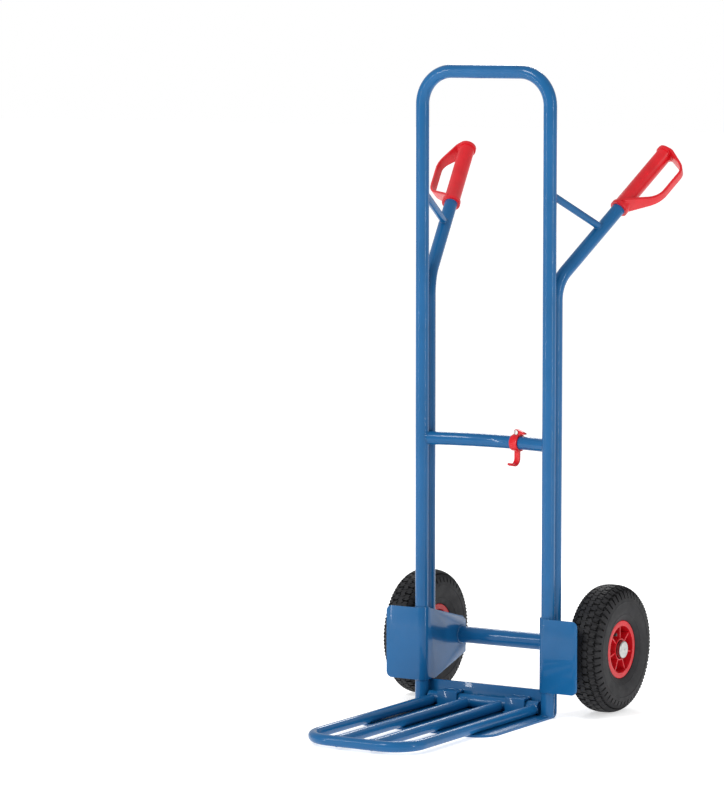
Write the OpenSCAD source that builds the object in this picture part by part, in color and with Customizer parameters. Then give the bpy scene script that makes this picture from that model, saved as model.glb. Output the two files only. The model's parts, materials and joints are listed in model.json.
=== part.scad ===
// Hand truck: bent tube hoop frame, folding load grille, bent toe plate,
// guarded air-filled wheels and two grips with side guards.
// The floor is z = 0, +X is to the right seen from the front, the front faces -Y,
// and y = 0 is the plane of the two upright axes.

/* [Frame] */
// Overall height, from the floor to the top of the hoop
frame_h = 1300; // [1080:5:1560]
// Distance between the axes of the two uprights
upright_gap = 292; // [280:1:352]
// Outer diameter of the frame tubes
tube_d = 26.9; // [24:0.1:30]
// Wall of the frame tubes
tube_wall = 2.3; // [1.5:0.1:3.2]
// Outer radius of the hoop's two top bends
hoop_r = 80; // [60:1:100]
// Height of the bowed cross tube's axis
cross_z = 547; // [450:1:660]
// How far behind the upright axes the cross tube meets them
cross_y = 3; // [0:0.5:8]
// How far the cross tube bows back at its middle
cross_bow = 24; // [18:1:32]

/* [Handles] */
// Distance from the top of the hoop down to the handle bend
handle_drop = 430; // [350:5:520]
// Slope of the handle, measured from upright
handle_tilt = 51.6; // [40:0.1:62]
// Turn of the handle outwards from straight back
handle_splay = 16; // [0:0.5:25]
// Centreline radius of the handle bend
handle_bend_r = 70; // [50:1:90]
// Distance from the bend's corner to the grip's mouth
grip_start = 226; // [200:1:260]
// Length of a grip
grip_l = 177; // [160:1:230]
// Outer diameter of the grip sleeve
grip_d = 32.6; // [31:0.1:40]
// Diameter of the flanges at the grip's two ends
grip_flange_d = 38; // [36:0.5:44]
// Distance from the grip's axis to the middle of its guard
guard_reach = 60.5; // [50:0.5:75]
// Thickness of the guard band
guard_t = 5; // [3:0.5:7]
// Width of the guard band along its outer run
guard_band_w = 16; // [10:0.5:20]
// Turn of the guard about the grip
guard_roll = -68.4; // [-90:0.1:-45]
// Diameter of the brace rod
brace_d = 15; // [12:0.5:18]
// Distance from the top of the hoop down to the brace's upper end
brace_drop = 252; // [200:1:320]
// Where the brace meets the handle, from the bend's corner
brace_at = 166; // [130:1:190]

/* [Toe plate] */
// How far the toe plate reaches past each upright axis
plate_side = 10; // [0:1:14]
// Reach of the toe plate in front of the upright axes
plate_reach = 261; // [200:1:320]
// Thickness of the toe plate
plate_t = 5; // [4:0.5:8]
// Inner radius of the bend up to the rear lip
plate_bend_r = 8; // [4:0.5:12]
// Height of the rear lip
lip_h = 53; // [46:1:70]
// Gap between the uprights and the rear lip, filled by the weld
lip_gap = 2.55; // [1:0.05:4]
// Radius of the plate's front corners
plate_corner_r = 45; // [20:1:80]

/* [Grille] */
// Outer diameter of the grille tubes
bar_d = 21.3; // [18:0.1:24]
// Wall of the grille tubes
bar_wall = 2; // [1.5:0.1:2.6]
// Distance between neighbouring bar axes
bar_pitch = 78.3; // [72:0.1:79]
// Distance of the raised grille's top bar below the cross tube, axis to axis
grille_drop = 24; // [22:0.5:30]
// Centreline radius of the grille's front corners
grille_corner_r = 60; // [40:1:70]
// Outer diameter of the hinge tube
hinge_d = 26.9; // [25:0.1:30]
// Wall of the hinge tube
hinge_wall = 2.6; // [2:0.1:3.2]
// Width of a hinge strap
strap_w = 44; // [30:1:50]
// Thickness of a hinge strap
strap_t = 4; // [3:0.5:5]

/* [Wheels] */
// Diameter of the tyre
wheel_d = 258; // [230:1:300]
// Width of the tyre
tyre_w = 75; // [65:1:80]
// Distance from an upright axis out to the middle of a wheel
wheel_out = 68; // [66:1:80]
// Gap from the upright axes back to the tyre
wheel_back = 3; // [0:1:20]
// Diameter of the axle shaft
axle_d = 20; // [18:0.5:22]
// Outer diameter of the axle cross tube
axle_tube_d = 33.7; // [32:0.1:38]
// Wall of the axle cross tube
axle_tube_wall = 2.6; // [2:0.1:3.2]
// Diameter of the rim over its flanges
rim_d = 117; // [110:1:124]
// Width of the rim over its flanges
rim_w = 56; // [50:1:60]
// Number of ribs on each rim half
rib_count = 7; // [5:1:9]
// Outer diameter of the wheel hub
hub_d = 44; // [42:1:48]
// Diameter of the bearing seat
bearing_d = 32; // [28:1:34]
// Length of a bearing
bearing_l = 14; // [10:1:16]
// Diameter of the axle cap
cap_d = 35; // [30:1:37]

/* [Wheel guards] */
// Thickness of the guard sheet
sheet_t = 3; // [2:0.5:3.5]
// Height of the guard's lower edge
guard_z = 54; // [45:1:70]
// Height of the guard
guard_h = 148; // [130:1:180]
// Distance from the upright axis to the guard's outer edge
guard_out = 74; // [50:1:85]
// Radius of the guard's outer corners
guard_corner_r = 12; // [6:1:20]

/* [Hook] */
// Place of the hook along the cross tube
hook_x = 62; // [60:1:66]
// Width of the hook band round the tube
hook_w = 18; // [14:1:20]
// Width of the hook's tail
tail_w = 13; // [10:1:16]
// Thickness of the hook's tail
tail_t = 3.5; // [2.5:0.5:4]
// Thickness of the band round the tube
band_t = 3; // [2:0.5:4]
// Reach of the thumb tab beside the rivet
tab_reach = 21; // [14:0.5:24]
// Diameter of the hook's rivet shank
rivet_d = 4.8; // [4:0.1:6]

/* [Clearances] */
// Gap between welded round parts
weld_gap = 0.1; // [0.05:0.05:0.5]
// Gap round the hinge tube and under the grille
hinge_gap = 0.3; // [0.2:0.05:0.6]
// Radial running gap between the axle and its bearings
run_gap = 0.08; // [0.02:0.01:0.1]
// Radial gap between the hook band and the cross tube
hook_gap = 0.35; // [0.2:0.05:0.6]
// Room left round the grille bar in the hook's pocket
pocket_gap = 1.6; // [1.4:0.1:2.5]
// Gap between the wheel and the washers beside it
side_gap = 0.3; // [0.2:0.05:0.6]
// Gap between the tyre, the inner tube and the rim
tyre_gap = 0.4; // [0.2:0.1:1]

/* [Hidden] */
$fn = 64;
EPS = 0.01;
tube_r = tube_d / 2;
half_gap = upright_gap / 2;
plate_w = upright_gap + 2 * plate_side;
wheel_x = half_gap + wheel_out;
axle_y = wheel_d / 2 + wheel_back;
bar_r = bar_d / 2;
hinge_r = hinge_d / 2;

// handle
handle_y = tube_d + weld_gap;
handle_z = frame_h - handle_drop;
handle_foot_z = guard_z + 20;
grip_end = grip_start + grip_l;
grip_cap_t = 4;
grip_bore_gap = 0.05;

// toe plate and hinge
lip_y = tube_r + lip_gap;
hinge_y = lip_y - hinge_gap - hinge_r;
hinge_z = plate_t + hinge_gap + hinge_r;
bar_z = plate_t + hinge_gap + 0.05 + bar_r;
grille_l = cross_z - grille_drop - hinge_z;
front_bar_y = hinge_y - grille_l;
side_bar_x = 1.5 * bar_pitch;
strap_x = bar_pitch;
hinge_half_l = side_bar_x + bar_r - 1;

// wheels
axle_z = wheel_d / 2;
axle_tube_half = wheel_x - 32.5;
hub_in = -30;
hub_out = 26;
seat_out = 2;
washer_t = 2;
recess_d = hub_d - 5;
cap_back = 22;
cap_front = 34.5;
shaft_half = wheel_x + cap_front - 2.5;
rim_wall = 3.3;
seat_r = rim_d / 2 - 7.7;
flange_t = 3;
floor_t = 4;
rib_t = 3;
boss_r_at = 34;
boss_r = 4.5;
boss_top = 13;
screw_d = 4;
screw_head_d = 8.5;
valve_w = 14;
valve_d = 8;
valve_slot = 0;
tyre_wall = 7.5;
tube_skin = 2;

// guards and gussets
bend_in = tube_r + weld_gap;
bend_out = bend_in + sheet_t;
gusset_back = axle_y + 18;

// bow of the cross tube: circle through its two ends and its middle
bow_r = (half_gap * half_gap + cross_bow * cross_bow) / (2 * cross_bow);
bow_cy = cross_y + cross_bow - bow_r;
bow_cut = asin((half_gap - 4) / bow_r);

// hook: its place on the bow, and its pocket round the raised grille's top bar
hook_turn = asin(hook_x / bow_r);
hook_y = bow_cy + bow_r * cos(hook_turn);
latch_y = (hinge_y - hinge_z + bar_z - hook_y) / cos(hook_turn);
latch_z = -grille_drop;
latch_dist = norm([latch_y, latch_z]);
pocket_r = bar_r + pocket_gap;
pocket_y = -(tail_t / 2 + pocket_r);
pocket_z = -sqrt(latch_dist * latch_dist - pocket_y * pocket_y);
lip_angle = 135;
band_in = tube_r + hook_gap;
band_out = band_in + band_t;
ear_top = tube_r + 13.6;
ear_slot = 1.2;
rivet_z = ear_top - 6;

// ---- helpers ----

// ring-shaped section of a tube
module ring(ro, wall) {
    difference() {
        circle(r = ro);
        circle(r = ro - wall);
    }
}

// straight tube along z, from z0 to z1
module pipe(ro, wall, z0, z1) {
    translate([0, 0, z0])
        linear_extrude(z1 - z0)
            ring(ro, wall);
}

// solid bar between two points
module rod(p, q, r) {
    v = q - p;
    l = norm(v);
    translate(p)
        rotate([0, acos(v[2] / l), atan2(v[1], v[0])])
            cylinder(r = r, h = l);
}

// a YZ outline drawn out along x, centred on x = 0
module along_x(w) {
    translate([-w / 2, 0, 0])
        rotate([90, 0, 90])
            linear_extrude(w)
                children();
}

// part of a ring between two angles less than 180 degrees apart
module sector(ri, ro, a0, a1) {
    far = 3 * ro;
    mid = (a0 + a1) / 2;
    intersection() {
        difference() {
            circle(r = ro);
            circle(r = ri);
        }
        polygon([
            [0, 0],
            [far * cos(a0), far * sin(a0)],
            [far * cos(mid), far * sin(mid)],
            [far * cos(a1), far * sin(a1)]
        ]);
    }
}

function unit(v) = v / norm(v);

// points of the rounded corner at b between a and c, moved outwards by off
function corner(a, b, c, r, off, n = 8) =
    let (
        u = unit(a - b),
        w = unit(c - b),
        half = acos(u * w) / 2,
        ctr = b + unit(u + w) * r / sin(half),
        p = b + u * r / tan(half) - ctr,
        q = b + w * r / tan(half) - ctr,
        a0 = atan2(p[1], p[0]),
        turn = (atan2(q[1], q[0]) - a0 + 540) % 360 - 180
    )
    [for (i = [0:n]) ctr + (r + off) * [cos(a0 + turn * i / n), sin(a0 + turn * i / n)]];

// ---- frame ----

// solid stand-ins for the tubes that others are cut to fit
module upright_solid() {
    translate([half_gap, 0, 0])
        cylinder(r = tube_r + weld_gap, h = frame_h);
}

module handle_foot_solid() {
    translate([half_gap, handle_y, 0])
        cylinder(r = tube_r + weld_gap, h = handle_z);
}

module hoop_side() {
    mid_r = hoop_r - tube_r;
    translate([half_gap, 0, 0])
        pipe(tube_r, tube_wall, plate_t, frame_h - hoop_r);
    translate([half_gap - mid_r, 0, frame_h - hoop_r])
        rotate([90, 0, 0])
            rotate_extrude(angle = 90)
                translate([mid_r, 0])
                    ring(tube_r, tube_wall);
}

// the inside of the plate's bend, which the foot of each upright is cut to clear
module bend_fill() {
    along_x(upright_gap + tube_d + 10)
        translate([lip_y - plate_bend_r, plate_t])
            difference() {
                square(plate_bend_r + 1);
                translate([0, plate_bend_r])
                    circle(r = plate_bend_r);
            }
}

module main_frame() {
    top_half = half_gap - hoop_r + tube_r;
    color("#2f63a6")
        difference() {
            union() {
                hoop_side();
                mirror([1, 0, 0])
                    hoop_side();
                translate([-top_half, 0, frame_h - tube_r])
                    rotate([0, 90, 0])
                        pipe(tube_r, tube_wall, 0, 2 * top_half);
            }
            bend_fill();
        }
}

module cross_tube() {
    color("#2f63a6")
        difference() {
            translate([0, bow_cy, cross_z])
                rotate_extrude(angle = 2 * bow_cut, start = 90 - bow_cut)
                    translate([bow_r, 0])
                        ring(tube_r, tube_wall);
            upright_solid();
            handle_foot_solid();
            mirror([1, 0, 0]) {
                upright_solid();
                handle_foot_solid();
            }
        }
}

// ---- handles and grips ----

// puts the handle's own frame at the bend's corner, with z along the sloping tube
module on_handle() {
    translate([half_gap, handle_y, handle_z])
        rotate([0, handle_tilt, 90 - handle_splay])
            children();
}

module handle_tube_right() {
    cut = handle_bend_r * tan(handle_tilt / 2);
    color("#2f63a6")
        translate([half_gap, handle_y, 0])
            rotate([0, 0, 270 - handle_splay]) {
                pipe(tube_r, tube_wall, handle_foot_z, handle_z - cut);
                translate([-handle_bend_r, 0, handle_z - cut]) {
                    rotate([90, 0, 0])
                        rotate_extrude(angle = handle_tilt)
                            translate([handle_bend_r, 0])
                                ring(tube_r, tube_wall);
                    // a hair thicker than the bend, so that the two meet cleanly
                    rotate([0, -handle_tilt, 0])
                        translate([handle_bend_r, 0, 0])
                            pipe(tube_r + 0.02, tube_wall + 0.04, -0.05, grip_end - grip_cap_t - cut);
                }
            }
}

module handle_brace_right() {
    dir = [
        sin(handle_tilt) * sin(handle_splay),
        sin(handle_tilt) * cos(handle_splay),
        cos(handle_tilt)
    ];
    p = [half_gap, 0, frame_h - brace_drop];
    q = [half_gap, handle_y, handle_z] + brace_at * dir;
    color("#2f63a6")
        difference() {
            rod(p, q, brace_d / 2);
            upright_solid();
            on_handle()
                cylinder(r = tube_r + weld_gap, h = grip_start);
        }
}

// outline of the guard band in the plane of the grip's axis: x outwards, y along the grip
module guard_loop() {
    p = [
        [0, grip_start + 9],
        [guard_reach, grip_start + 58],
        [guard_reach, grip_end - 30],
        [16, grip_end - guard_t / 2],
        [0, grip_end - guard_t / 2]
    ];
    h = guard_t / 2;
    lead = unit([p[1][1] - p[0][1], p[0][0] - p[1][0]]) * h;
    outer = concat(
        [p[0] + lead],
        corner(p[0], p[1], p[2], 44, h),
        corner(p[1], p[2], p[3], 27, h),
        corner(p[2], p[3], p[4], 14, h),
        [p[4] + [0, h]]
    );
    inner = concat(
        [p[4] - [0, h]],
        corner(p[4], p[3], p[2], 14, -h),
        corner(p[3], p[2], p[1], 27, -h),
        corner(p[2], p[1], p[0], 44, -h),
        [p[0] - lead]
    );
    polygon(concat(outer, inner));
}

// the guard band seen along the grip: as wide as the flange at the sleeve, narrow outside
module guard_taper() {
    r1 = grip_flange_d / 2;
    r2 = guard_band_w / 2;
    a = acos((r1 - r2) / guard_reach);
    edge = r2 * sin(a);
    circle(r = r1);
    polygon([
        [r1 * cos(a), r1 * sin(a)],
        [guard_reach + r2 * cos(a), edge],
        [guard_reach + guard_t, edge],
        [guard_reach + guard_t, -edge],
        [guard_reach + r2 * cos(a), -edge],
        [r1 * cos(a), -r1 * sin(a)]
    ]);
}

module grip_right() {
    color("#e02631")
        on_handle()
            rotate([0, 0, guard_roll])
                difference() {
                    union() {
                        translate([0, 0, grip_start])
                            cylinder(d = grip_d, h = grip_l);
                        translate([0, 0, grip_start])
                            cylinder(d = grip_flange_d, h = 8);
                        translate([0, 0, grip_end - 8])
                            cylinder(d = grip_flange_d, h = 8);
                        intersection() {
                            translate([0, grip_flange_d / 2, 0])
                                rotate([90, 0, 0])
                                    linear_extrude(grip_flange_d)
                                        guard_loop();
                            linear_extrude(grip_end)
                                guard_taper();
                        }
                    }
                    translate([0, 0, grip_start - 1])
                        cylinder(r = tube_r + grip_bore_gap, h = grip_l - grip_cap_t + 1);
                }
}

module handle_tube_left() { mirror([1, 0, 0]) handle_tube_right(); }
module handle_brace_left() { mirror([1, 0, 0]) handle_brace_right(); }
module grip_left() { mirror([1, 0, 0]) grip_right(); }

// ---- toe plate and hinge ----

module plate_outline() {
    front = -plate_reach;
    back = lip_y + plate_t;
    w = plate_w / 2;
    r = plate_corner_r;
    translate([-w, front + r])
        square([plate_w, back - front - r]);
    translate([-w + r, front])
        square([plate_w - 2 * r, r + EPS]);
    for (s = [-1, 1])
        translate([s * (w - r), front + r])
            circle(r = r);
}

module toe_plate() {
    bend_y = lip_y - plate_bend_r;
    bend_z = plate_t + plate_bend_r;
    color("#2f63a6")
        intersection() {
            along_x(plate_w) {
                translate([-plate_reach, 0])
                    square([plate_reach + bend_y, plate_t]);
                translate([bend_y, bend_z])
                    sector(plate_bend_r, bend_z, -90, 0);
                translate([lip_y, bend_z])
                    square([plate_t, lip_h - bend_z]);
            }
            linear_extrude(lip_h)
                plate_outline();
        }
}

module hinge_strap(side) {
    ri = hinge_r + hinge_gap;
    ro = ri + strap_t;
    color("#2f63a6")
        translate([side * strap_x, 0, 0])
            along_x(min(strap_w, bar_pitch - bar_d - 6))
                polygon([
                    [hinge_y - ro - 8, plate_t], [hinge_y - ri, plate_t],
                    [hinge_y - ri, hinge_z + ri], [lip_y, hinge_z + ri],
                    [lip_y, hinge_z + ro], [hinge_y - ro, hinge_z + ro],
                    [hinge_y - ro, plate_t + strap_t], [hinge_y - ro - 8, plate_t + strap_t]
                ]);
}

module hinge_strap_left() { hinge_strap(-1); }
module hinge_strap_right() { hinge_strap(1); }

// ---- grille, lying on the toe plate ----

module hinge_solid() {
    translate([-half_gap, hinge_y, hinge_z])
        rotate([0, 90, 0])
            cylinder(r = hinge_r + weld_gap, h = upright_gap);
}

module grille_side() {
    straight = grille_l - grille_corner_r;
    translate([side_bar_x, hinge_y, bar_z])
        rotate([90, 0, 0])
            pipe(bar_r, bar_wall, 0, straight);
    translate([side_bar_x - grille_corner_r, hinge_y - straight, bar_z])
        rotate_extrude(angle = 90, start = 270)
            translate([grille_corner_r, 0])
                ring(bar_r, bar_wall);
}

module grille_hoop() {
    half = side_bar_x - grille_corner_r;
    color("#2f63a6")
        difference() {
            union() {
                grille_side();
                mirror([1, 0, 0])
                    grille_side();
                translate([-half, front_bar_y, bar_z])
                    rotate([0, 90, 0])
                        pipe(bar_r, bar_wall, 0, 2 * half);
            }
            hinge_solid();
        }
}

module grille_bar(side) {
    color("#2f63a6")
        difference() {
            translate([side * bar_pitch / 2, hinge_y, bar_z])
                rotate([90, 0, 0])
                    pipe(bar_r, bar_wall, 0, grille_l);
            hinge_solid();
            translate([-side_bar_x, front_bar_y, bar_z])
                rotate([0, 90, 0])
                    cylinder(r = bar_r + weld_gap, h = 2 * side_bar_x);
        }
}

module grille_bar_left() { grille_bar(-1); }
module grille_bar_right() { grille_bar(1); }

module hinge_tube() {
    color("#2f63a6")
        translate([-hinge_half_l, hinge_y, hinge_z])
            rotate([0, 90, 0])
                pipe(hinge_r, hinge_wall, 0, 2 * hinge_half_l);
}

module hinge_tube_plugs() {
    plug_t = 4;
    color("#2f63a6")
        for (x = [-hinge_half_l + 1, hinge_half_l - 1 - plug_t])
            translate([x, hinge_y, hinge_z])
                rotate([0, 90, 0])
                    cylinder(r = hinge_r - hinge_wall - weld_gap, h = plug_t);
}

// ---- wheel guards with their axle gussets ----

module guard_bracket_right() {
    low = guard_z;
    high = guard_z + guard_h;
    out = half_gap + guard_out;
    r = guard_corner_r;
    color("#2f63a6")
        difference() {
            intersection() {
                translate([0, 0, low])
                    linear_extrude(guard_h) {
                        translate([half_gap, -bend_out])
                            square([guard_out, sheet_t]);
                        translate([half_gap, 0])
                            sector(bend_in, bend_out, 180, 270);
                        translate([half_gap - bend_out, 0])
                            square([sheet_t, gusset_back]);
                    }
                // side outline: level front, gusset narrowing to the axle
                along_x(2 * out)
                    polygon([
                        [-bend_out - 1, low],
                        [28, low],
                        [gusset_back, axle_z - 38],
                        [gusset_back, axle_z + 28],
                        [gusset_back - 12, axle_z + 37],
                        [5, high - 2],
                        [5, high],
                        [-bend_out - 1, high]
                    ]);
                // front outline, with round outer corners
                translate([0, gusset_back, 0])
                    rotate([90, 0, 0])
                        linear_extrude(gusset_back + bend_out) {
                            translate([0, low])
                                square([out - r, guard_h]);
                            translate([0, low + r])
                                square([out, guard_h - 2 * r]);
                            for (z = [low + r, high - r])
                                translate([out - r, z])
                                    circle(r = r);
                        }
            }
            translate([0, axle_y, axle_z])
                rotate([0, 90, 0])
                    cylinder(r = axle_tube_d / 2 + weld_gap, h = out);
        }
}

module guard_bracket_left() { mirror([1, 0, 0]) guard_bracket_right(); }

// ---- axle ----

// puts children on the axle line with z pointing to +x
module on_axle(x) {
    translate([x, axle_y, axle_z])
        rotate([0, 90, 0])
            children();
}

module axle_tube() {
    color("#2f63a6")
        on_axle(0)
            pipe(axle_tube_d / 2, axle_tube_wall, -axle_tube_half, axle_tube_half);
}

module axle_shaft() {
    color("silver")
        on_axle(-shaft_half)
            cylinder(d = axle_d, h = 2 * shaft_half);
}

module axle_ring_set(ro, x0, t, tone) {
    color(tone)
        on_axle(x0)
            pipe(ro, ro - axle_d / 2 - run_gap, 0, t);
}

module axle_bush_right() {
    axle_ring_set(axle_tube_d / 2 - axle_tube_wall - 0.05, axle_tube_half - 16, 15, "gray");
}

module inner_washer_right() {
    axle_ring_set(18, axle_tube_half, washer_t, "silver");
}

module outer_washer_right() {
    axle_ring_set(15, wheel_x + seat_out + bearing_l + side_gap, washer_t, "silver");
}

module axle_cap_right() {
    r = cap_d / 2;
    edge = 2.5;
    skin = 2;
    color("silver")
        on_axle(wheel_x)
            rotate_extrude()
                difference() {
                    union() {
                        translate([0, cap_back])
                            square([r, cap_front - cap_back - edge]);
                        translate([0, cap_back])
                            square([r - edge, cap_front - cap_back]);
                        translate([r - edge, cap_front - edge])
                            intersection() {
                                circle(r = edge);
                                square(edge);
                            }
                    }
                    // hollow under the dome, round the sleeve that grips the shaft
                    translate([axle_d / 2 + 2, cap_back - 1])
                        square([r - skin - axle_d / 2 - 2, cap_front - cap_back - skin]);
                    translate([-1, cap_back - 1])
                        square([axle_d / 2 + 1 + 0.02, cap_front - cap_back - 1.5]);
                    translate([-1, cap_front - 3])
                        square([2, 4]);
                }
}

module axle_bush_left() { mirror([1, 0, 0]) axle_bush_right(); }
module inner_washer_left() { mirror([1, 0, 0]) inner_washer_right(); }
module outer_washer_left() { mirror([1, 0, 0]) outer_washer_right(); }
module axle_cap_left() { mirror([1, 0, 0]) axle_cap_right(); }

// ---- wheels: x is the radius and y the place across the wheel in each outline ----

// half outline of the tyre from its middle to one bead, moved inwards by inset
function tyre_side(inset, foot_r) =
    let (
        belly = (wheel_d / 2 + seat_r) / 2,
        top = wheel_d / 2 - inset - belly,
        half = tyre_w / 2 - inset,
        neck = rim_d / 2 + tyre_gap + inset,
        bead = rim_w / 2 - flange_t - tyre_gap - inset,
        n = 2.6
    )
    concat(
        [for (a = [90:-9:0])
            [belly + top * pow(sin(a), 2 / n), half * pow(cos(a), 2 / n)]],
        [for (u = [0.2:0.2:1])
            [belly - (belly - neck) * u, half - (tyre_w - rim_w) / 2 * u * u]],
        [[neck, bead], [foot_r, bead]]
    );

function flip(p) = [for (i = [len(p) - 1:-1:0]) [p[i][0], -p[i][1]]];

module tyre_shape(inset, foot_r) {
    side = tyre_side(inset, foot_r);
    polygon(concat(side, flip(side)));
}

module tyre_right() {
    color("#2b2b2d")
        on_axle(wheel_x)
            rotate_extrude()
                difference() {
                    tyre_shape(0, seat_r + tyre_gap);
                    tyre_shape(tyre_wall, seat_r - 2);
                }
}

module inner_tube_right() {
    color("#1d1d1d")
        on_axle(wheel_x)
            rotate_extrude()
                difference() {
                    tyre_shape(tyre_wall + tyre_gap, seat_r + tyre_gap);
                    tyre_shape(tyre_wall + tyre_gap + tube_skin, seat_r + tyre_gap + tube_skin);
                }
}

// one rim half without its ribs: bead wall, flange, floor and hub, w up from the middle
module rim_profile(hub_end, seat_from, seat_to) {
    wall_r = seat_r - rim_wall;
    half = rim_w / 2;
    difference() {
        union() {
            translate([wall_r, 0])
                square([rim_wall, half]);
            translate([wall_r, half - flange_t])
                square([rim_d / 2 - wall_r - flange_t / 2, flange_t]);
            translate([rim_d / 2 - flange_t / 2, half - flange_t / 2])
                circle(d = flange_t);
            translate([hub_d / 2 - 3, 0])
                square([wall_r - hub_d / 2 + 4, floor_t]);
            translate([axle_d / 2 + 2, 0])
                square([hub_d / 2 - axle_d / 2 - 2, hub_end]);
        }
        translate([0, seat_from])
            square([bearing_d / 2, seat_to - seat_from]);
        translate([0, seat_to - EPS])
            square([recess_d / 2, max(hub_end - seat_to, 0) + 1]);
    }
}

module rim_ribs() {
    for (i = [0:rib_count - 1])
        rotate([0, 0, 180 + i * 360 / rib_count])
            translate([hub_d / 2 - 1, -rib_t / 2, floor_t - EPS])
                cube([seat_r - rim_wall - hub_d / 2 + 2, rib_t, rim_w / 2 - floor_t - 3]);
}

// places children in each pocket but the valve's
module each_screw() {
    for (i = [0:rib_count - 1])
        if (i != valve_slot)
            rotate([0, 0, 180 + (i + 0.5) * 360 / rib_count])
                translate([boss_r_at, 0, 0])
                    children();
}

module on_valve() {
    rotate([0, 0, 180 + (valve_slot + 0.5) * 360 / rib_count])
        children();
}

module rim_outer_right() {
    color("#d8202c")
        on_axle(wheel_x)
            difference() {
                union() {
                    rotate_extrude()
                        rim_profile(hub_out, seat_out, seat_out + bearing_l);
                    rim_ribs();
                    each_screw()
                        cylinder(r = boss_r, h = boss_top);
                }
                each_screw()
                    translate([0, 0, -1])
                        cylinder(d = screw_d + 0.1, h = boss_top - 0.5);
                on_valve()
                    translate([seat_r - rim_wall - 3, 0, valve_w])
                        rotate([0, 90, 0])
                            cylinder(d = valve_d + 0.6, h = rim_wall + 6);
            }
}

module rim_inner_right() {
    color("#d8202c")
        on_axle(wheel_x)
            mirror([0, 0, 1])
                difference() {
                    union() {
                        rotate_extrude()
                            rim_profile(-hub_in, -hub_in - bearing_l, -hub_in + EPS);
                        rim_ribs();
                    }
                    each_screw()
                        translate([0, 0, -1])
                            cylinder(d = screw_d + 0.6, h = floor_t + 2);
                }
}

module rim_screws_right() {
    color("silver")
        on_axle(wheel_x)
            each_screw() {
                translate([0, 0, -floor_t - EPS])
                    cylinder(d = screw_d, h = floor_t + boss_top - 2);
                translate([0, 0, -floor_t - 3])
                    cylinder(d = screw_head_d, h = 3);
            }
}

module wheel_bearings_right() {
    color("gray")
        on_axle(wheel_x)
            for (w = [hub_in, seat_out])
                translate([0, 0, w])
                    pipe(bearing_d / 2 - 0.02, (bearing_d - axle_d) / 2 - 0.02 - run_gap, 0, bearing_l);
}

// rubber stem: in from the inner tube, then turned outwards in its pocket
module valve_right() {
    turn_r = boss_r_at + 1;
    color("#1d1d1d")
        on_axle(wheel_x)
            on_valve() {
                translate([turn_r, 0, valve_w])
                    rotate([0, 90, 0])
                        cylinder(d = valve_d, h = seat_r + tyre_gap - 0.1 - turn_r);
                translate([turn_r, 0, valve_w])
                    sphere(d = valve_d);
                translate([turn_r, 0, valve_w])
                    cylinder(d = valve_d, h = 6);
                translate([turn_r, 0, valve_w + 6])
                    cylinder(d = valve_d - 1.5, h = 5);
            }
}

module tyre_left() { mirror([1, 0, 0]) tyre_right(); }
module inner_tube_left() { mirror([1, 0, 0]) inner_tube_right(); }
module valve_left() { mirror([1, 0, 0]) valve_right(); }
module rim_outer_left() { mirror([1, 0, 0]) rim_outer_right(); }
module rim_inner_left() { mirror([1, 0, 0]) rim_inner_right(); }
module rim_screws_left() { mirror([1, 0, 0]) rim_screws_right(); }
module wheel_bearings_left() { mirror([1, 0, 0]) wheel_bearings_right(); }

// ---- hook, hanging from the cross tube ----

module on_hook() {
    translate([hook_x, hook_y, cross_z])
        rotate([0, 0, -hook_turn])
            children();
}

// side outline: band round the tube, two ears on top, tail and pocket below
module hook_side() {
    ear_half = ear_slot / 2 + band_t;
    difference() {
        union() {
            circle(r = band_out);
            translate([-ear_half, 0])
                square([2 * ear_half, ear_top]);
        }
        circle(r = band_in);
        translate([-ear_slot / 2, 0])
            square([ear_slot, ear_top + 1]);
    }
    translate([-tail_t / 2, pocket_z])
        square([tail_t, -pocket_z - band_in - band_t / 2]);
    translate([pocket_y, pocket_z]) {
        sector(pocket_r, pocket_r + tail_t, -lip_angle / 2, 0);
        sector(pocket_r, pocket_r + tail_t, -lip_angle, -lip_angle / 2 + EPS);
    }
}

// front outline: ears with a thumb tab, wide band, narrow tail and lip
module hook_front() {
    ear_w = 13;
    tab_z = band_out + 0.6;
    polygon(concat(
        [[-ear_w / 2, 0], [ear_w / 2, 0], [ear_w / 2, tab_z], [tab_reach - 1, tab_z],
            [tab_reach, tab_z + 1.5], [tab_reach - 3, tab_z + 3.5]],
        [for (a = [60:15:180]) [ear_w / 2 * cos(a), rivet_z + ear_w / 2 * sin(a)]]
    ));
    translate([-hook_w / 2, -band_out])
        square([hook_w, 2 * band_out]);
    translate([-tail_w / 2, pocket_z - 6])
        square([tail_w, -pocket_z + 4]);
    translate([-tail_w / 2, pocket_z - pocket_r - tail_t - 1])
        square([tail_w, pocket_r + tail_t - 3]);
}

module hook() {
    reach = 2 * (pocket_r + tail_t) + band_out;
    color("#e02631")
        on_hook()
            difference() {
                intersection() {
                    along_x(2 * tab_reach + 2)
                        hook_side();
                    translate([0, reach, 0])
                        rotate([90, 0, 0])
                            linear_extrude(2 * reach)
                                hook_front();
                }
                translate([0, band_out, rivet_z])
                    rotate([90, 0, 0])
                        cylinder(d = rivet_d + 0.1, h = 2 * band_out);
            }
}

module hook_rivet() {
    ear_half = ear_slot / 2 + band_t;
    head_d = 2 * rivet_d;
    color("silver")
        on_hook()
            translate([0, ear_half, rivet_z])
                rotate([90, 0, 0]) {
                    cylinder(d = rivet_d, h = 2 * ear_half);
                    for (z = [-1.8, 2 * ear_half])
                        translate([0, 0, z])
                            cylinder(d = head_d, h = 1.8);
                }
}

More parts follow.
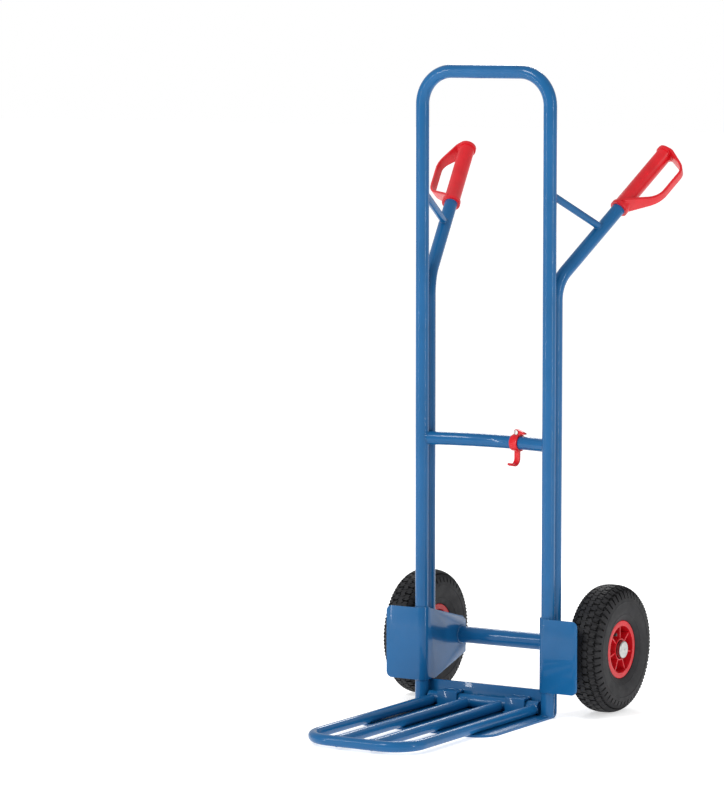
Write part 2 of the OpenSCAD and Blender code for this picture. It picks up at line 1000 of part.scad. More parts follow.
main_frame();
cross_tube();
handle_tube_left();
handle_tube_right();
handle_brace_left();
handle_brace_right();
grip_left();
grip_right();
toe_plate();
hinge_strap_left();
hinge_strap_right();
guard_bracket_left();
guard_bracket_right();
axle_tube();
axle_shaft();
axle_bush_left();
axle_bush_right();
inner_washer_left();
inner_washer_right();
outer_washer_left();
outer_washer_right();
axle_cap_left();
axle_cap_right();
grille_hoop();
grille_bar_left();
grille_bar_right();
hinge_tube();
hinge_tube_plugs();
hook();
hook_rivet();
tyre_left();
inner_tube_left();
valve_left();
rim_outer_left();
rim_inner_left();
rim_screws_left();
wheel_bearings_left();
tyre_right();
inner_tube_right();
valve_right();
rim_outer_right();
rim_inner_right();
rim_screws_right();
wheel_bearings_right();
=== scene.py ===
import json
from math import atan2, cos, pi, radians, sin, sqrt

import bmesh
import bpy
from mathutils import Matrix, Vector


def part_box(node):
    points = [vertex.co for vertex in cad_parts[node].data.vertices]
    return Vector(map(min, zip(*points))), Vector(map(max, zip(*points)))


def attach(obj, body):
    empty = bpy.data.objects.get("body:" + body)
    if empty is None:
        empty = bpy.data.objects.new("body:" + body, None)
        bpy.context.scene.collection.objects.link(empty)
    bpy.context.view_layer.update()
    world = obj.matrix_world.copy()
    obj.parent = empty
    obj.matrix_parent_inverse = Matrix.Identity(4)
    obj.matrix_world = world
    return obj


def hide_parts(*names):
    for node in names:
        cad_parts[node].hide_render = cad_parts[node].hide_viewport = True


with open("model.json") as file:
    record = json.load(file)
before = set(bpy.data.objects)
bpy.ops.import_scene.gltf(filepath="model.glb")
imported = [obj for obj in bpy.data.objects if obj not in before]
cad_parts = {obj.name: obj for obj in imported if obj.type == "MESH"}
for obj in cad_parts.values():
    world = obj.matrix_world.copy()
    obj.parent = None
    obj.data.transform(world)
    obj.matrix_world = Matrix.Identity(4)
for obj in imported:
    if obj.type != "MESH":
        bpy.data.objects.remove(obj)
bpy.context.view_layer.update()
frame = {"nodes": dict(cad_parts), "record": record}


# Materials: everything reads Object coordinates, in metres.

def newMaterial(name, colour, rough, metal=0.0, coat=0.0, coatRough=0.05, spec=0.5):
    mat = bpy.data.materials.new(name)
    mat.use_nodes = True
    shader = mat.node_tree.nodes["Principled BSDF"]
    shader.inputs["Base Color"].default_value = (*colour, 1)
    shader.inputs["Roughness"].default_value = rough
    shader.inputs["Metallic"].default_value = metal
    shader.inputs["Coat Weight"].default_value = coat
    shader.inputs["Coat Roughness"].default_value = coatRough
    shader.inputs["Specular IOR Level"].default_value = spec
    return mat, mat.node_tree, shader


def objectNoise(tree, scale, detail=3.0, rough=0.55, stretch=(1, 1, 1)):
    coords = tree.nodes.new("ShaderNodeTexCoord")
    mapping = tree.nodes.new("ShaderNodeMapping")
    mapping.inputs["Scale"].default_value = stretch
    noise = tree.nodes.new("ShaderNodeTexNoise")
    noise.inputs["Scale"].default_value = scale
    noise.inputs["Detail"].default_value = detail
    noise.inputs["Roughness"].default_value = rough
    tree.links.new(coords.outputs["Object"], mapping.inputs["Vector"])
    tree.links.new(mapping.outputs["Vector"], noise.inputs["Vector"])
    return noise.outputs["Fac"]


def ramp(tree, source, stops):
    node = tree.nodes.new("ShaderNodeValToRGB")
    node.color_ramp.elements[0].position = stops[0][0]
    node.color_ramp.elements[0].color = (*stops[0][1], 1)
    node.color_ramp.elements[1].position = stops[-1][0]
    node.color_ramp.elements[1].color = (*stops[-1][1], 1)
    for place, colour in stops[1:-1]:
        stop = node.color_ramp.elements.new(place)
        stop.color = (*colour, 1)
    tree.links.new(source, node.inputs["Fac"])
    return node.outputs["Color"]


def spread(tree, source, low, high):
    node = tree.nodes.new("ShaderNodeMapRange")
    node.inputs["To Min"].default_value = low
    node.inputs["To Max"].default_value = high
    tree.links.new(source, node.inputs["Value"])
    return node.outputs["Result"]


def bumpFrom(tree, shader, layers):
    # layers: (height source, distance in metres, strength), each on top of the last
    last = None
    for source, distance, strength in layers:
        node = tree.nodes.new("ShaderNodeBump")
        node.inputs["Distance"].default_value = distance
        node.inputs["Strength"].default_value = strength
        tree.links.new(source, node.inputs["Height"])
        if last:
            tree.links.new(last, node.inputs["Normal"])
        last = node.outputs["Normal"]
    tree.links.new(last, shader.inputs["Normal"])


def mixColour(tree, factor, a, b):
    node = tree.nodes.new("ShaderNodeMix")
    node.data_type = "RGBA"
    tree.links.new(factor, node.inputs["Factor"])
    for socket, value in ((node.inputs[6], a), (node.inputs[7], b)):
        if isinstance(value, tuple):
            socket.default_value = (*value, 1)
        else:
            tree.links.new(value, socket)
    return node.outputs[2]


paintLook = {
    "deep": (0.0060, 0.094, 0.245),
    "mid": (0.0075, 0.103, 0.268),
    "light": (0.0095, 0.112, 0.290),
    "chalky": (0.016, 0.115, 0.29),
    "rough": (0.20, 0.30),
}


def bluePaint():
    mat, tree, shader = newMaterial("bluePaint", paintLook["mid"], 0.28,
                                    coat=0.3, coatRough=0.04, spec=0.14)
    cloud = objectNoise(tree, 9.0, 4.0)
    tone = ramp(tree, cloud, [
        (0.32, paintLook["deep"]), (0.5, paintLook["mid"]), (0.7, paintLook["light"]),
    ])
    patches = ramp(tree, objectNoise(tree, 14.0, 5.0), [(0.55, (0, 0, 0)), (0.75, (0.5, 0.5, 0.5))])
    tree.links.new(mixColour(tree, patches, tone, paintLook["chalky"]), shader.inputs["Base Color"])
    gloss = spread(tree, objectNoise(tree, 30.0, 4.0), *paintLook["rough"])
    tree.links.new(gloss, shader.inputs["Roughness"])
    bumpFrom(tree, shader, [
        (objectNoise(tree, 300.0, 2.0), 0.0002, 0.05),  # orange peel
        (objectNoise(tree, 28.0, 2.0), 0.0006, 0.03),
    ])
    return mat


def weldPaint():
    mat, tree, shader = newMaterial("paintedWeld", paintLook["mid"], 0.25,
                                    coat=0.6, coatRough=0.08, spec=0.2)
    tone = ramp(tree, objectNoise(tree, 160.0, 3.0), [(0.35, paintLook["deep"]), (0.7, paintLook["light"])])
    tree.links.new(tone, shader.inputs["Base Color"])
    bumpFrom(tree, shader, [(objectNoise(tree, 340.0, 3.0), 0.001, 0.35)])
    return mat


plasticLook = {
    "grip": (0.64, 0.006, 0.014),
    "gripDeep": (0.56, 0.004, 0.010),
    "rim": (0.60, 0.008, 0.016),
    "rimDeep": (0.46, 0.004, 0.009),
    "hook": (0.62, 0.006, 0.012),
    "rimDust": (0.45, 0.10, 0.09),
    "hookScuff": (0.58, 0.05, 0.06),
}


def gripPlastic():
    mat, tree, shader = newMaterial("gripPlastic", plasticLook["grip"], 0.34,
                                    coat=0.2, coatRough=0.2, spec=0.35)
    shader.inputs["Subsurface Weight"].default_value = 0.06
    shader.inputs["Subsurface Radius"].default_value = (0.004, 0.0015, 0.001)
    tone = ramp(tree, objectNoise(tree, 35.0, 4.0), [
        (0.3, plasticLook["gripDeep"]), (0.6, plasticLook["grip"]),
    ])
    tree.links.new(tone, shader.inputs["Base Color"])
    tree.links.new(spread(tree, objectNoise(tree, 120.0, 3.0), 0.28, 0.46), shader.inputs["Roughness"])
    bumpFrom(tree, shader, [
        (objectNoise(tree, 900.0, 2.0), 0.0003, 0.16),  # moulding grain
        (objectNoise(tree, 70.0, 2.0), 0.0006, 0.05),
    ])
    return mat


def rimPlastic():
    mat, tree, shader = newMaterial("rimPlastic", plasticLook["rim"], 0.34,
                                    coat=0.1, coatRough=0.15, spec=0.25)
    tone = ramp(tree, objectNoise(tree, 45.0, 4.0), [
        (0.3, plasticLook["rimDeep"]), (0.62, plasticLook["rim"]),
    ])
    dust = ramp(tree, objectNoise(tree, 24.0, 5.0), [(0.55, (0, 0, 0)), (0.8, (0.10, 0.10, 0.10))])
    tree.links.new(mixColour(tree, dust, tone, plasticLook["rimDust"]), shader.inputs["Base Color"])
    tree.links.new(spread(tree, objectNoise(tree, 90.0, 3.0), 0.27, 0.48), shader.inputs["Roughness"])
    bumpFrom(tree, shader, [(objectNoise(tree, 700.0, 2.0), 0.0003, 0.14)])
    return mat


def hookPaint():
    mat, tree, shader = newMaterial("hookPaint", plasticLook["hook"], 0.3,
                                    coat=0.25, coatRough=0.1, spec=0.2)
    scuff = ramp(tree, objectNoise(tree, 180.0, 4.0), [(0.6, (0, 0, 0)), (0.72, (0.4, 0.4, 0.4))])
    tone = mixColour(tree, scuff, plasticLook["hook"], plasticLook["hookScuff"])
    tree.links.new(tone, shader.inputs["Base Color"])
    tree.links.new(spread(tree, objectNoise(tree, 80.0, 3.0), 0.2, 0.42), shader.inputs["Roughness"])
    bumpFrom(tree, shader, [(objectNoise(tree, 520.0, 2.0), 0.0004, 0.12)])
    return mat


def zincSteel():
    mat, tree, shader = newMaterial("zincSteel", (0.50, 0.51, 0.50), 0.32, metal=1.0)
    tone = ramp(tree, objectNoise(tree, 110.0, 4.0), [(0.3, (0.36, 0.37, 0.37)), (0.7, (0.60, 0.60, 0.57))])
    tree.links.new(tone, shader.inputs["Base Color"])
    tree.links.new(spread(tree, objectNoise(tree, 300.0, 3.0), 0.2, 0.42), shader.inputs["Roughness"])
    bumpFrom(tree, shader, [(objectNoise(tree, 600.0, 2.0), 0.0002, 0.12)])
    return mat


def bearingSteel():
    mat, tree, shader = newMaterial("bearingSteel", (0.45, 0.46, 0.48), 0.35, metal=1.0)
    grease = ramp(tree, objectNoise(tree, 90.0, 4.0), [
        (0.45, (0.16, 0.14, 0.12)), (0.62, (0.5, 0.51, 0.53)),
    ])
    tree.links.new(grease, shader.inputs["Base Color"])
    tree.links.new(spread(tree, objectNoise(tree, 140.0, 3.0), 0.25, 0.55), shader.inputs["Roughness"])
    bumpFrom(tree, shader, [(objectNoise(tree, 400.0, 2.0), 0.0003, 0.15)])
    return mat


rubberLook = {
    "black": (0.008, 0.008, 0.0095),
    "grey": (0.016, 0.016, 0.018),
    "dust": (0.032, 0.031, 0.031),
}


def tyreRubber():
    mat, tree, shader = newMaterial("tyreRubber", rubberLook["grey"], 0.62, spec=0.3)
    tone = ramp(tree, objectNoise(tree, 26.0, 5.0), [
        (0.3, rubberLook["black"]), (0.62, rubberLook["grey"]),
    ])
    dust = ramp(tree, objectNoise(tree, 70.0, 6.0, 0.7), [(0.52, (0, 0, 0)), (0.75, (0.55, 0.55, 0.55))])
    tree.links.new(mixColour(tree, dust, tone, rubberLook["dust"]), shader.inputs["Base Color"])
    tree.links.new(spread(tree, objectNoise(tree, 55.0, 4.0), 0.5, 0.78), shader.inputs["Roughness"])
    bumpFrom(tree, shader, [
        (objectNoise(tree, 500.0, 3.0), 0.0005, 0.22),
        (objectNoise(tree, 45.0, 3.0), 0.0012, 0.12),
    ])
    return mat


def blackRubber():
    mat, tree, shader = newMaterial("blackRubber", rubberLook["black"], 0.5, spec=0.45)
    tone = ramp(tree, objectNoise(tree, 120.0, 4.0), [
        (0.35, (0.012, 0.012, 0.013)), (0.7, (0.035, 0.034, 0.034)),
    ])
    tree.links.new(tone, shader.inputs["Base Color"])
    tree.links.new(spread(tree, objectNoise(tree, 90.0, 3.0), 0.4, 0.65), shader.inputs["Roughness"])
    bumpFrom(tree, shader, [(objectNoise(tree, 600.0, 2.0), 0.0003, 0.2)])
    return mat


looks = {
    "blue_paint": bluePaint(),
    "weld": weldPaint(),
    "grip_plastic": gripPlastic(),
    "rim_plastic": rimPlastic(),
    "hook_paint": hookPaint(),
    "zinc_steel": zincSteel(),
    "bearing_steel": bearingSteel(),
    "tyre_rubber": tyreRubber(),
    "tube_rubber": blackRubber(),
}
nodeSlot = {part["node"]: part["material_slot"] for part in frame["record"]["subparts"]}
for nodeName, obj in frame["nodes"].items():
    for s in obj.material_slots:
        s.material = looks[nodeSlot[nodeName]]
print("materials ready")


# Small helpers round Blender's own operators.

def dropAll():
    if bpy.context.object and bpy.context.object.mode != "OBJECT":
        bpy.ops.object.mode_set(mode="OBJECT")
    bpy.ops.object.select_all(action="DESELECT")


def only(obj):
    dropAll()
    obj.select_set(True)
    bpy.context.view_layer.objects.active = obj


def editNothing(obj):
    only(obj)
    bpy.ops.object.mode_set(mode="EDIT")
    bpy.ops.mesh.select_all(action="DESELECT")


def editAll(obj):
    only(obj)
    bpy.ops.object.mode_set(mode="EDIT")
    bpy.ops.mesh.select_all(action="SELECT")


def pick(obj, test, kind="FACE"):
    # selects faces or vertices by their place, in edit mode
    bpy.ops.mesh.select_mode(type=kind)
    bpy.ops.mesh.select_all(action="DESELECT")
    work = bmesh.from_edit_mesh(obj.data)
    for item in (work.faces if kind == "FACE" else work.verts):
        place = item.calc_center_median() if kind == "FACE" else item.co
        if test(place, item):
            item.select_set(True)
    work.select_flush(True)
    bmesh.update_edit_mesh(obj.data)


def leaveEdit():
    bpy.ops.object.mode_set(mode="OBJECT")


def applyModifiers(obj):
    only(obj)
    for m in list(obj.modifiers):
        bpy.ops.object.modifier_apply(modifier=m.name)


def settle(obj):
    only(obj)
    bpy.ops.object.transform_apply(location=True, rotation=True, scale=True)


def smooth(obj, angle=35):
    only(obj)
    bpy.ops.object.shade_smooth_by_angle(angle=radians(angle))


def finishPiece(obj, name, body, look, replaced=()):
    settle(obj)
    obj.name = name
    obj.data.name = name
    obj.data.materials.clear()
    obj.data.materials.append(look)
    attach(obj, body)
    if replaced:
        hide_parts(*replaced)


def tracedLine(name, points):
    # a chain of vertices through the points, extruded one after the other
    dropAll()
    bpy.ops.mesh.primitive_plane_add(size=0.001, location=(0, 0, 0))
    obj = bpy.context.object
    obj.name = name
    editAll(obj)
    bpy.ops.mesh.merge(type="CENTER")
    bpy.ops.transform.translate(value=points[0])
    for a, b in zip(points, points[1:]):
        step = Vector(b) - Vector(a)
        bpy.ops.mesh.extrude_vertices_move(TRANSFORM_OT_translate={"value": step})
    leaveEdit()
    return obj


def spun(obj, centre, axis, steps):
    editAll(obj)
    bpy.ops.mesh.spin(steps=steps, angle=2 * pi, center=centre, axis=axis)
    bpy.ops.mesh.select_all(action="SELECT")
    bpy.ops.mesh.remove_doubles(threshold=0.00002)
    bpy.ops.mesh.normals_make_consistent(inside=False)
    leaveEdit()
    return obj


def mirroredCopy(obj, name):
    dropAll()
    twin = obj.copy()
    twin.data = obj.data.copy()
    bpy.context.collection.objects.link(twin)
    twin.name = name
    twin.matrix_world = Matrix.Scale(-1, 4, (1, 0, 0)) @ obj.matrix_world
    settle(twin)
    editAll(twin)
    bpy.ops.mesh.normals_make_consistent(inside=False)
    leaveEdit()
    return twin


def softened(node, name, body, width, angle=32, segments=3):
    # a copy of a CAD node with its doubled corners merged and its sharp edges rounded
    dropAll()
    source = frame["nodes"][node]
    obj = source.copy()
    obj.data = source.data.copy()
    obj.parent = None
    obj.matrix_world = source.matrix_world.copy()
    bpy.context.collection.objects.link(obj)
    for m in list(obj.modifiers):
        obj.modifiers.remove(m)
    settle(obj)
    editAll(obj)
    bpy.ops.mesh.remove_doubles(threshold=0.000005)
    bpy.ops.mesh.dissolve_limited(angle_limit=radians(1.2))
    leaveEdit()
    bevel = obj.modifiers.new("edges", "BEVEL")
    bevel.width = width
    bevel.segments = segments
    bevel.limit_method = "ANGLE"
    bevel.angle_limit = radians(angle)
    bevel.harden_normals = False
    bevel.use_clamp_overlap = True
    applyModifiers(obj)
    smooth(obj, 32)
    finishPiece(obj, name, body, looks[nodeSlot[node]], (node,))


# Places and sizes, all from the frame.

def mid(node):
    low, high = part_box(node)
    return (Vector(low) + Vector(high)) / 2


def size(node):
    low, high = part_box(node)
    return Vector(high) - Vector(low)


wheelAt = mid("tyre_right")
tyreR = size("tyre_right").z / 2 + 0.00005  # the box of the faceted circle is a hair small
tyreHalf = size("tyre_right").x / 2
axleY, axleZ = wheelAt.y, mid("axle_tube").z


# Tyres: a spun casing whose tread is pushed in.

tyreLook = {
    "steps": 192,           # stations round the tyre, four for each block of the tread
    "bellyR": 0.0899,       # where the casing is widest
    "round": 2.6,           # 2 is an ellipse, more is squarer
    "grooves": [-0.0285, -0.0175, -0.006, 0.006, 0.0175, 0.0285],
    "edge": 0.0345,         # half the width of the tread
    "grooveDepth": 0.0042,
    "grooveHalf": 0.0012,   # half the width of a groove
    "blockEdge": 0.0006,    # a block starts this far from its groove
    "zig": 0.0036,          # sideways throw of the zigzag
    "zigEdge": 0.0335,      # the zigzag stops this far from the middle line
    "shoulder": 0.0369,     # and the cross cuts stop here
    "cut": 0.85,            # depth of a cross cut, as a part of a groove's
    "zigR": 0.112,          # the radius from which the zigzag, the grooves and the cuts reach out
    "grooveR": 0.110,
    "cutR": 0.105,
}
# From the tread's edge down to the bead: distance from the middle line, radius. The small steps
# are a raised ring below the shoulder, another by the rim, and the bead itself.
sideWall = [
    (0.0366, 0.1040), (0.0369, 0.0985), (0.0374, 0.0978), (0.0374, 0.0962), (0.0368, 0.0955),
    (0.0366, 0.0880), (0.0358, 0.0795), (0.0341, 0.0722), (0.0345, 0.0714), (0.0338, 0.0704),
    (0.0322, 0.0655), (0.0304, 0.0615), (0.0284, 0.0590), (0.0247, 0.0589), (0.0246, 0.0530),
]
# The same on the inside, from the bead up to the crown.
innerWall = [
    (0.0175, 0.0520), (0.0172, 0.0535), (0.0172, 0.0662), (0.0209, 0.0666), (0.0256, 0.0740),
    (0.0290, 0.0830), (0.0301, 0.0905), (0.0299, 0.0990), (0.0280, 0.1065), (0.0245, 0.1130),
    (0.0120, 0.1207),
]


def treadHeight(w):
    # radius of the casing at a distance w from its middle line
    belly, power = tyreLook["bellyR"], tyreLook["round"]
    return belly + (tyreR - belly) * max(1 - (abs(w) / tyreHalf) ** power, 0.0) ** (1 / power)


def makeTyre():
    steps, half, edge = tyreLook["steps"], tyreLook["grooveHalf"], tyreLook["edge"]
    grooves = tyreLook["grooves"]
    lip = half + tyreLook["blockEdge"]
    stations = [-edge]
    for c in grooves:
        stations += [c - lip, c - half, c + half, c + lip]
    stations.append(edge)
    tread = [(w, treadHeight(w)) for w in stations]
    loop = [(-w, r) for w, r in reversed(sideWall)] + tread + sideWall
    loop += innerWall + [(-w, r) for w, r in reversed(innerWall)]
    loop.append(loop[0])
    points = [(wheelAt.x + w, axleY, axleZ + r) for w, r in loop]
    obj = spun(tracedLine("tyreRight", points), (wheelAt.x, axleY, axleZ), (1, 0, 0), steps)

    def polar(place):
        y, z = place.y - axleY, place.z - axleZ
        return sqrt(y ** 2 + z ** 2), atan2(z, y)

    # zigzag: every second station of the tread moves sideways
    editNothing(obj)
    turn = 2 * pi / steps

    def station(place):
        return round((polar(place)[1] - pi / 2) / turn) % steps

    def onTread(place):
        w = place.x - wheelAt.x
        return polar(place)[0] > tyreLook["zigR"] and abs(w) < tyreLook["zigEdge"]

    for odd, way in ((0, 1), (1, -1)):
        pick(obj, lambda p, v: onTread(p) and station(p) % 2 == odd, "VERT")
        bpy.ops.transform.translate(value=(way * tyreLook["zig"] / 2, 0, 0))

    # grooves: the narrow faces between two blocks are pushed in
    def inGroove(p, f):
        w = p.x - wheelAt.x
        return polar(p)[0] > tyreLook["grooveR"] and any(abs(w - c) < half * 0.8 for c in grooves)

    depth = tyreLook["grooveDepth"]
    pick(obj, inGroove)
    bpy.ops.mesh.extrude_region_shrink_fatten(TRANSFORM_OT_shrink_fatten={"value": -depth})

    # cross cuts: one face in four of each band is pushed in, in turn from band to band
    shoulder = tyreLook["shoulder"]

    def band(p):
        w = p.x - wheelAt.x
        for i, (a, b) in enumerate(zip([-shoulder] + grooves, grooves + [shoulder])):
            if a + half < w < b - half:
                return i
        return -1

    def isCut(p, f):
        if polar(p)[0] < tyreLook["cutR"] or band(p) < 0:
            return False
        step = int((polar(p)[1] - pi / 2) / turn % steps)
        return (step + 2 * band(p)) % 4 == 0

    pick(obj, isCut)
    depth *= tyreLook["cut"]
    bpy.ops.mesh.extrude_region_shrink_fatten(TRANSFORM_OT_shrink_fatten={"value": -depth})
    leaveEdit()
    smooth(obj, 28)
    return obj


tyreRight = makeTyre()
tyreLeft = mirroredCopy(tyreRight, "tyreLeft")
smooth(tyreLeft, 28)
for side, tyre in (("right", tyreRight), ("left", tyreLeft)):
    finishPiece(tyre, "tyre" + side.capitalize(), "wheel_" + side,
                looks["tyre_rubber"], ("tyre_" + side,))
print("tyres ready")


# Parts whose sharp edges are rounded: the width of the rounding and the body of each.

edgeRound = {
    "toe_plate": (0.0008, "frame"),
    "hinge_strap_left": (0.0006, "frame"),
    "hinge_strap_right": (0.0006, "frame"),
    "guard_bracket_left": (0.0005, "frame"),
    "guard_bracket_right": (0.0005, "frame"),
    "grip_left": (0.0012, "frame"),
    "grip_right": (0.0012, "frame"),
    "hook": (0.0005, "hook"),
    "hook_rivet": (0.0004, "hook"),
    "rim_outer_left": (0.0005, "wheel_left"),
    "rim_outer_right": (0.0005, "wheel_right"),
    "rim_inner_left": (0.0005, "wheel_left"),
    "rim_inner_right": (0.0005, "wheel_right"),
    "axle_cap_left": (0.0004, "frame"),
    "axle_cap_right": (0.0004, "frame"),
    "valve_left": (0.0006, "wheel_left"),
    "valve_right": (0.0006, "wheel_right"),
}


def camel(node):
    words = node.split("_")
    return words[0] + "".join(w.capitalize() for w in words[1:])


for nodeName, (width, body) in edgeRound.items():
    softened(nodeName, camel(nodeName) + "Soft", body, width)
    print("rounded", nodeName)


# Weld beads, painted over.

weldLook = {
    "bead": 0.0021,      # radius of a full bead
    "fine": 0.0015,      # radius on thin rods and sheet edges
    "ripple": 0.0024,    # length of one ripple
    "waist": 0.74,       # how far a bead narrows between ripples
    "braceR": 0.0075,    # radius of a brace rod
    "braceTopZ": 1.048,  # where its middle line meets the upright's
    "braceAt": 0.166,    # from the handle's bend to the brace's foot
    "handleTilt": 51.6,  # degrees from upright
    "handleSplay": 16,   # degrees outwards from straight back
    "handleZ": 0.870,    # height of the handle's bend
    "bowAngle": 0.326,   # the cross tube's slope at an upright, in radians
}


def along(points, step, closed=False):
    # points an even step apart on a polyline
    line = [Vector(p) for p in points]
    if closed:
        line.append(line[0])
    lengths = [(b - a).length for a, b in zip(line, line[1:])]
    total = sum(lengths)
    count = max(int(total / step), 4)
    count += count % 2
    out = []
    for i in range(count + (0 if closed else 1)):
        left = total * i / count
        for a, b, l in zip(line, line[1:], lengths):
            if left <= l + 1e-9:
                out.append(a.lerp(b, min(left / l, 1.0) if l else 0.0))
                break
            left -= l
        else:
            out.append(line[-1].copy())
    return out


def weldBead(name, points, radius, body, closed=False):
    path = along(points, weldLook["ripple"] / 2, closed)
    dropAll()
    curve = bpy.data.curves.new(name, "CURVE")
    curve.dimensions = "3D"
    curve.bevel_depth = radius
    curve.bevel_resolution = 2
    curve.use_fill_caps = True
    line = curve.splines.new("POLY")
    line.points.add(len(path) - 1)
    for i, place in enumerate(path):
        line.points[i].co = (*place, 1)
        line.points[i].radius = 1.0 if i % 2 else weldLook["waist"]
    line.use_cyclic_u = closed
    obj = bpy.data.objects.new(name, curve)
    bpy.context.collection.objects.link(obj)
    only(obj)
    bpy.ops.object.convert(target="MESH")
    obj = bpy.context.object
    editAll(obj)
    bpy.ops.mesh.remove_doubles(threshold=0.00001)
    bpy.ops.mesh.normals_make_consistent(inside=False)
    leaveEdit()
    smooth(obj, 50)
    finishPiece(obj, name, body, looks["weld"])


def saddle(start, heading, r, axisPoint, axisDir, bigR, turns, count=48):
    # where a rod's surface leaves a round tube, for the angles in turns (degrees)
    d, a = Vector(heading).normalized(), Vector(axisDir).normalized()
    side = d.cross(a).normalized()
    up = side.cross(d).normalized()
    out = []
    for i in range(count + 1):
        t = radians(turns[0] + (turns[1] - turns[0]) * i / count)
        base = Vector(start) + r * (cos(t) * up + sin(t) * side) - Vector(axisPoint)
        e, f = base - base.dot(a) * a, d - d.dot(a) * a
        qa, qb, qc = f.dot(f), 2 * e.dot(f), e.dot(e) - bigR ** 2
        inner = qb * qb - 4 * qa * qc
        if inner < 0:
            inner = 0.0
        s = (-qb + sqrt(inner)) / (2 * qa)
        out.append(base + Vector(axisPoint) + s * d)
    return out


hingeAt = mid("hinge_tube")
hingeR = size("hinge_tube").z / 2
barR = size("grille_bar_right").z / 2
barZ = mid("grille_bar_right").z
barX = mid("grille_bar_right").x
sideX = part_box("grille_hoop")[1][0] - barR
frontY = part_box("grille_hoop")[0][1] + barR
tubeR = size("main_frame").y / 2
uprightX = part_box("main_frame")[1][0] - tubeR
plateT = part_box("main_frame")[0][2]
crossZ = mid("cross_tube").z


def bothSides(name, points, radius, body, closed=False):
    for tag, way in (("Left", -1), ("Right", 1)):
        weldBead(name + tag, [(way * p[0], p[1], p[2]) for p in points], radius, body, closed)


def arcPoints(u, v, r, first, last):
    # points six degrees apart on a circle about (u, v), from one angle up to another
    return [(u + r * cos(radians(a)), v + r * sin(radians(a))) for a in range(first, last, 6)]


def makeWelds():
    # the small lengths below, mostly under a millimetre, set each bead into its corner
    big, fine = weldLook["bead"], weldLook["fine"]
    for tag, x in (("Inner", barX), ("Outer", sideX)):
        seam = saddle((x, hingeAt.y, barZ), (0, -1, 0), barR, hingeAt, (1, 0, 0), hingeR, (-28, 208))
        bothSides("weldBarHinge" + tag, seam, big * 0.9, "grille")
    seam = saddle((barX, frontY, barZ), (0, 1, 0), barR, (0, frontY, barZ), (1, 0, 0), barR, (0, 352))
    bothSides("weldBarFront", seam, fine, "grille", True)
    # braces: seams on the upright and on the handle tube
    rodR = weldLook["braceR"]
    tilt, splay = radians(weldLook["handleTilt"]), radians(weldLook["handleSplay"])
    slope = Vector((sin(tilt) * sin(splay), sin(tilt) * cos(splay), cos(tilt)))
    bend = Vector((uprightX, 2 * tubeR + 0.0001, weldLook["handleZ"]))
    top = Vector((uprightX, 0, weldLook["braceTopZ"]))
    foot = bend + weldLook["braceAt"] * slope
    way = (foot - top).normalized()
    seam = saddle(top, way, rodR, top, (0, 0, 1), tubeR, (0, 352))
    bothSides("weldBraceTop", seam, fine, "frame", True)
    seam = saddle(foot, -way, rodR, foot, slope, tubeR, (0, 352))
    bothSides("weldBraceFoot", seam, fine, "frame", True)
    # axle tube in its gussets, inside and outside
    axleR = size("axle_tube").z / 2
    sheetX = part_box("guard_bracket_right")[0][0]
    for tag, x in (("In", sheetX - 0.0004), ("Out", sheetX + 0.0034)):
        ring = [(x, y, z) for y, z in arcPoints(axleY, axleZ, axleR + 0.0006, 0, 360)]
        bothSides("weldAxle" + tag, ring, big, "frame", True)
    # cross tube on the uprights
    lean = (-cos(weldLook["bowAngle"]), sin(weldLook["bowAngle"]), 0)
    end, upright = (uprightX, 0.003, crossZ), (uprightX, 0, 0)
    for tag, turns in (("Front", (-170, -4)), ("Back", (4, 170))):
        seam = saddle(end, lean, tubeR, upright, (0, 0, 1), tubeR, turns)
        bothSides("weldCross" + tag, seam, fine, "frame")
    # guard sheet round the upright, at its top and bottom
    low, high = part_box("guard_bracket_right")
    for tag, z in (("Top", high[2] + 0.0004), ("Foot", low[2] - 0.0004)):
        arc = [(x, y, z) for x, y in arcPoints(uprightX, 0, tubeR + 0.0008, 172, 306)]
        bothSides("weldGuard" + tag, arc, big * 0.95, "frame")
    # foot of the upright on the plate, and up the rear lip
    arc = [(x, y, plateT + 0.0006) for x, y in arcPoints(uprightX, 0, tubeR + 0.0007, 150, 316)]
    bothSides("weldFoot", arc, big, "frame")
    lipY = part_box("hinge_strap_right")[1][1]
    for tag, off in (("In", -0.0078), ("Out", 0.0070)):
        line = [(uprightX + off, lipY - 0.0016, 0.017), (uprightX + off, lipY - 0.0016, 0.050)]
        bothSides("weldLip" + tag, line, big * 1.05, "frame")
    # hinge straps: rear edge on the lip, front edge on the plate
    low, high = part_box("hinge_strap_right")
    y, z = lipY - 0.0004, high[2] + 0.0004
    bothSides("weldStrapRear", [(low[0] + 0.003, y, z), (high[0] - 0.003, y, z)], big * 0.85, "frame")
    y, z = low[1] - 0.0002, plateT + 0.0012
    bothSides("weldStrapFront", [(low[0] + 0.004, y, z), (high[0] - 0.004, y, z)], big * 0.8, "frame")


makeWelds()
print("welds ready")


# Camera, floor and light.

studio = {
    "cameraAt": (3.972, -6.957, 1.446),
    "heading": 31.484,      # turned left from +Y
    "pitch": 5.808,         # down from level
    "lens": 181.0,
    "fill": 0.58,           # light from all round, dimmer than the white backdrop
    "floorGlow": 0.56,
}
camera = bpy.data.objects.new("camera", bpy.data.cameras.new("camera"))
bpy.context.collection.objects.link(camera)
camera.location = studio["cameraAt"]
camera.rotation_euler = (radians(90 - studio["pitch"]), 0, radians(studio["heading"]))
camera.data.lens = studio["lens"]
camera.data.sensor_width = 36
camera.data.clip_end = 100
bpy.context.scene.camera = camera

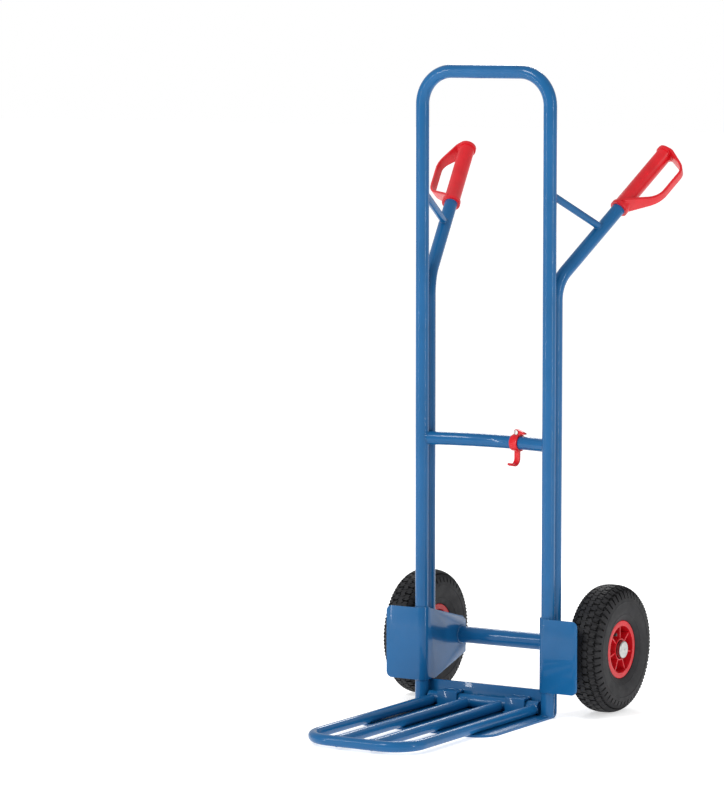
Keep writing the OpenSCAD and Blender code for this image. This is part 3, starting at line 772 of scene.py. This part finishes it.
dropAll()
bpy.ops.mesh.primitive_plane_add(size=60, location=(0, 0, 0))
floor = bpy.context.object
floor.name = "floor"
mat, tree, shader = newMaterial("paleFloor", (0.86, 0.86, 0.86), 0.6, spec=0.1)
shader.inputs["Emission Color"].default_value = (1, 1, 1, 1)
shader.inputs["Emission Strength"].default_value = studio["floorGlow"]
cloud = objectNoise(tree, 3.0, 4.0)
pale = ramp(tree, cloud, [(0.3, (0.86, 0.86, 0.865)), (0.7, (0.89, 0.89, 0.89))])
tree.links.new(pale, shader.inputs["Base Color"])
floor.data.materials.append(mat)

world = bpy.data.worlds.new("studio")
bpy.context.scene.world = world
world.use_nodes = True
sky = world.node_tree
backdrop = sky.nodes["Background"]
backdrop.inputs["Color"].default_value = (1, 1, 1, 1)
backdrop.inputs["Strength"].default_value = 1.0
fill = sky.nodes.new("ShaderNodeBackground")
fill.inputs["Color"].default_value = (1, 1, 1, 1)
fill.inputs["Strength"].default_value = studio["fill"]
rays, both = sky.nodes.new("ShaderNodeLightPath"), sky.nodes.new("ShaderNodeMixShader")
sky.links.new(rays.outputs["Is Camera Ray"], both.inputs["Fac"])
sky.links.new(fill.outputs["Background"], both.inputs[1])
sky.links.new(backdrop.outputs["Background"], both.inputs[2])
sky.links.new(both.outputs["Shader"], sky.nodes["World Output"].inputs["Surface"])


def softbox(name, place, target, wide, tall, power):
    light = bpy.data.lights.new(name, "AREA")
    light.shape = "RECTANGLE"
    light.size, light.size_y = wide, tall
    light.energy = power
    obj = bpy.data.objects.new(name, light)
    bpy.context.collection.objects.link(obj)
    obj.location = place
    obj.rotation_euler = (Vector(target) - Vector(place)).to_track_quat("-Z", "Y").to_euler()


# place, the point it faces, width, height and power in watts
softbox("keyLight", (-1.2, -4.0, 4.2), (0, 0, 0.6), 1.5, 1.5, 120)
softbox("leftStrip", (-2.6, -3.8, 1.6), (0, 0, 0.9), 0.14, 3.0, 36)
softbox("rightStrip", (4.3, -0.4, 1.4), (0, 0, 0.8), 0.16, 3.0, 44)
softbox("backLight", (-1.6, 3.4, 2.8), (0, 0, 0.7), 1.4, 1.4, 50)
bpy.context.scene.view_settings.view_transform = "Standard"

print("scene ready")
